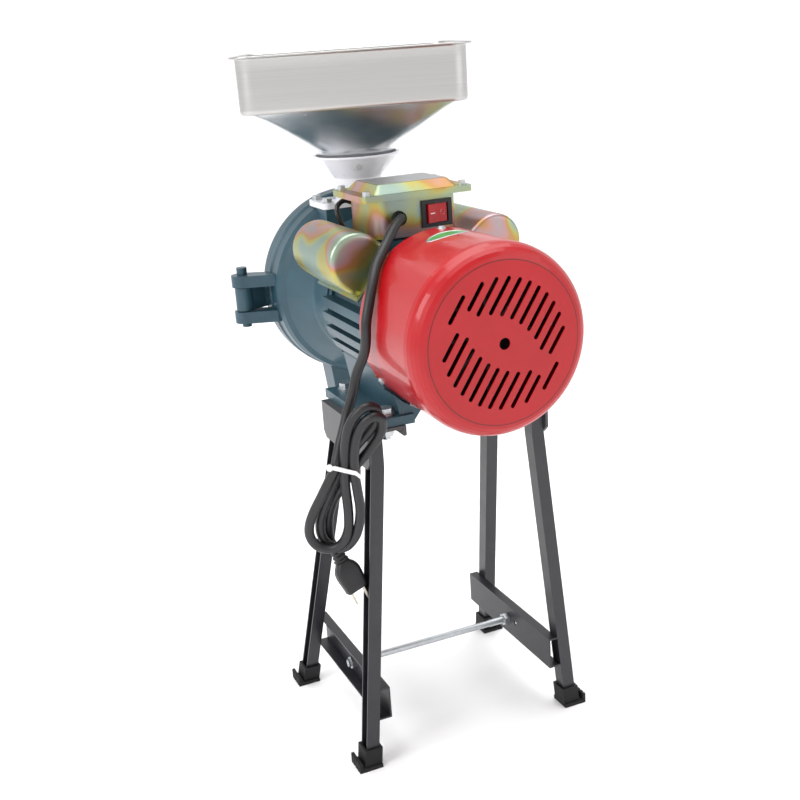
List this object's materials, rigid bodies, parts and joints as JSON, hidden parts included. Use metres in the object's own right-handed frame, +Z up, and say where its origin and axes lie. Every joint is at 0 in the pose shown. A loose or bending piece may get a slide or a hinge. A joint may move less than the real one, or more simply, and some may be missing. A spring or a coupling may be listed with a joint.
{
  "type": "electric_grain_mill",
  "caption": "Stand-mounted electric grain mill: teal motor and grinding bowl, slotted red fan cover, square steel hopper, four black legs.",
  "frame": {"origin": "on the floor, under the middle of the machine without its cord", "axes": "+X to the hinge side of the front door, +Y to the fan cover, +Z up"},
  "size_m": [0.304, 0.4576, 0.692],
  "materials": {
    "rail_steel": "satin black-grey paint on folded steel",
    "leg_steel": "semi-gloss black powder coat",
    "black_rubber": "matte moulded rubber",
    "zinc_bolt": "bright zinc plated",
    "brass_screw": "plain brass",
    "teal_casting": "satin teal enamel on cast iron",
    "red_cover": "gloss red enamel on pressed steel",
    "rainbow_zinc": "yellow iridescent chromate on pressed steel",
    "lamination": "bare electrical steel laminations",
    "winding": "varnished copper wire",
    "ground_steel": "ground bearing and shaft steel",
    "phenolic": "brown phenolic",
    "black_plastic": "fine-textured black plastic",
    "red_rocker": "translucent red rocker",
    "cord_pvc": "black PVC sheath",
    "nylon_tie": "natural nylon",
    "grinding_iron": "bare cast iron with ground faces",
    "white_enamel": "gloss white enamel on cast iron",
    "stainless_sheet": "polished stainless sheet with satin sides",
    "pin_brass": "nickel-plated brass"
  },
  "bodies": {
    "machine": {"stand_rail_left": "rail_steel", "stand_rail_right": "rail_steel", "leg_rear_left": "leg_steel", "leg_rear_right": "leg_steel", "leg_front_left": "leg_steel", "leg_front_right": "leg_steel", "leg_shoes": "black_rubber", "cross_member_left": "leg_steel", "cross_member_right": "leg_steel", "tie_rod": "zinc_bolt", "tie_rod_nuts": "zinc_bolt", "foot_bolts": "zinc_bolt", "motor_frame": "teal_casting", "stator_core": "lamination", "stator_windings": "winding", "ball_bearings": "ground_steel", "centrifugal_switch": "phenolic", "rear_end_shield": "teal_casting", "fan_cover": "red_cover", "cover_screws": "zinc_bolt", "earth_screw": "brass_screw", "terminal_box": "rainbow_zinc", "box_gasket": "black_rubber", "box_lid": "rainbow_zinc", "lid_screws": "zinc_bolt", "switch_bezel": "black_plastic", "cable_grommet": "black_rubber", "start_capacitor": "black_plastic", "run_capacitor": "black_plastic", "capacitor_cover_left": "rainbow_zinc", "capacitor_cover_right": "rainbow_zinc", "capacitor_lead": "cord_pvc", "mill_body": "teal_casting", "bowl_fittings": "teal_casting", "feed_housing": "teal_casting", "door_hinge_pin": "teal_casting", "feed_throat": "white_enamel", "throat_bolts": "zinc_bolt", "hopper": "stainless_sheet", "hopper_screw": "zinc_bolt", "power_cord": "cord_pvc", "cord_hank": "cord_pvc", "cord_tie": "nylon_tie", "plug": "black_plastic", "plug_pins": "pin_brass"},
    "rotor": {"rotor_shaft": "ground_steel", "rotor_core": "lamination", "cooling_fan": "black_plastic", "feed_auger": "grinding_iron", "grinding_head": "grinding_iron", "rotating_disc": "grinding_iron"},
    "door": {"front_door": "teal_casting"},
    "carrier": {"disc_carrier": "grinding_iron", "stationary_disc": "grinding_iron"},
    "feed_screw": {"adjusting_screw": "zinc_bolt"},
    "jam_nut": {"lock_nut": "zinc_bolt"},
    "latch_bolt": {"swing_bolt": "zinc_bolt"},
    "latch_washer": {"clamp_washer": "zinc_bolt"},
    "latch_knob": {"clamp_knob": "black_plastic"},
    "rocker": {"switch_rocker": "red_rocker"}
  },
  "joints": [
    {"name": "rotor_spin", "type": "hinge", "parent": "machine", "child": "rotor", "pos_m": [0, 0.22881, 0.445], "axis": [0, 1, 0], "continuous": true},
    {"name": "door_swing", "type": "hinge", "parent": "machine", "child": "door", "pos_m": [0.127, -0.12519, 0.441], "axis": [0, 0, 1], "range_deg": [0, 160]},
    {"name": "disc_feed", "type": "slide", "parent": "door", "child": "carrier", "axis": [0, -1, 0], "range_m": [-0.0012, 0.004]},
    {"name": "screw_turn", "type": "hinge", "parent": "carrier", "child": "feed_screw", "pos_m": [0, -0.21549, 0.445], "axis": [0, -1, 0], "range_deg": [-217, 721]},
    {"name": "jam_nut_turn", "type": "hinge", "parent": "door", "child": "jam_nut", "pos_m": [0, -0.17919, 0.445], "axis": [0, -1, 0], "range_deg": [0, 180]},
    {"name": "latch_swing", "type": "hinge", "parent": "machine", "child": "latch_bolt", "pos_m": [-0.122, -0.10819, 0.445], "axis": [-1, 0, 0], "range_deg": [0, 90]},
    {"name": "washer_slide", "type": "slide", "parent": "latch_bolt", "child": "latch_washer", "axis": [0, 0, 1], "range_m": [0, 0.006]},
    {"name": "knob_turn", "type": "hinge", "parent": "latch_washer", "child": "latch_knob", "pos_m": [-0.122, -0.10819, 0.404], "axis": [0, 0, 1], "range_deg": [0, 1441]},
    {"name": "rocker_tilt", "type": "hinge", "parent": "machine", "child": "rocker", "pos_m": [-0.0195, 0.06421, 0.537], "axis": [0, 0, -1], "range_deg": [0, 20]}
  ],
  "couplings": [
    {"joint": "screw_turn", "follows": "disc_feed", "rad_per_m": 3141.6},
    {"joint": "knob_turn", "follows": "washer_slide", "rad_per_m": 4188.8}
  ]
}
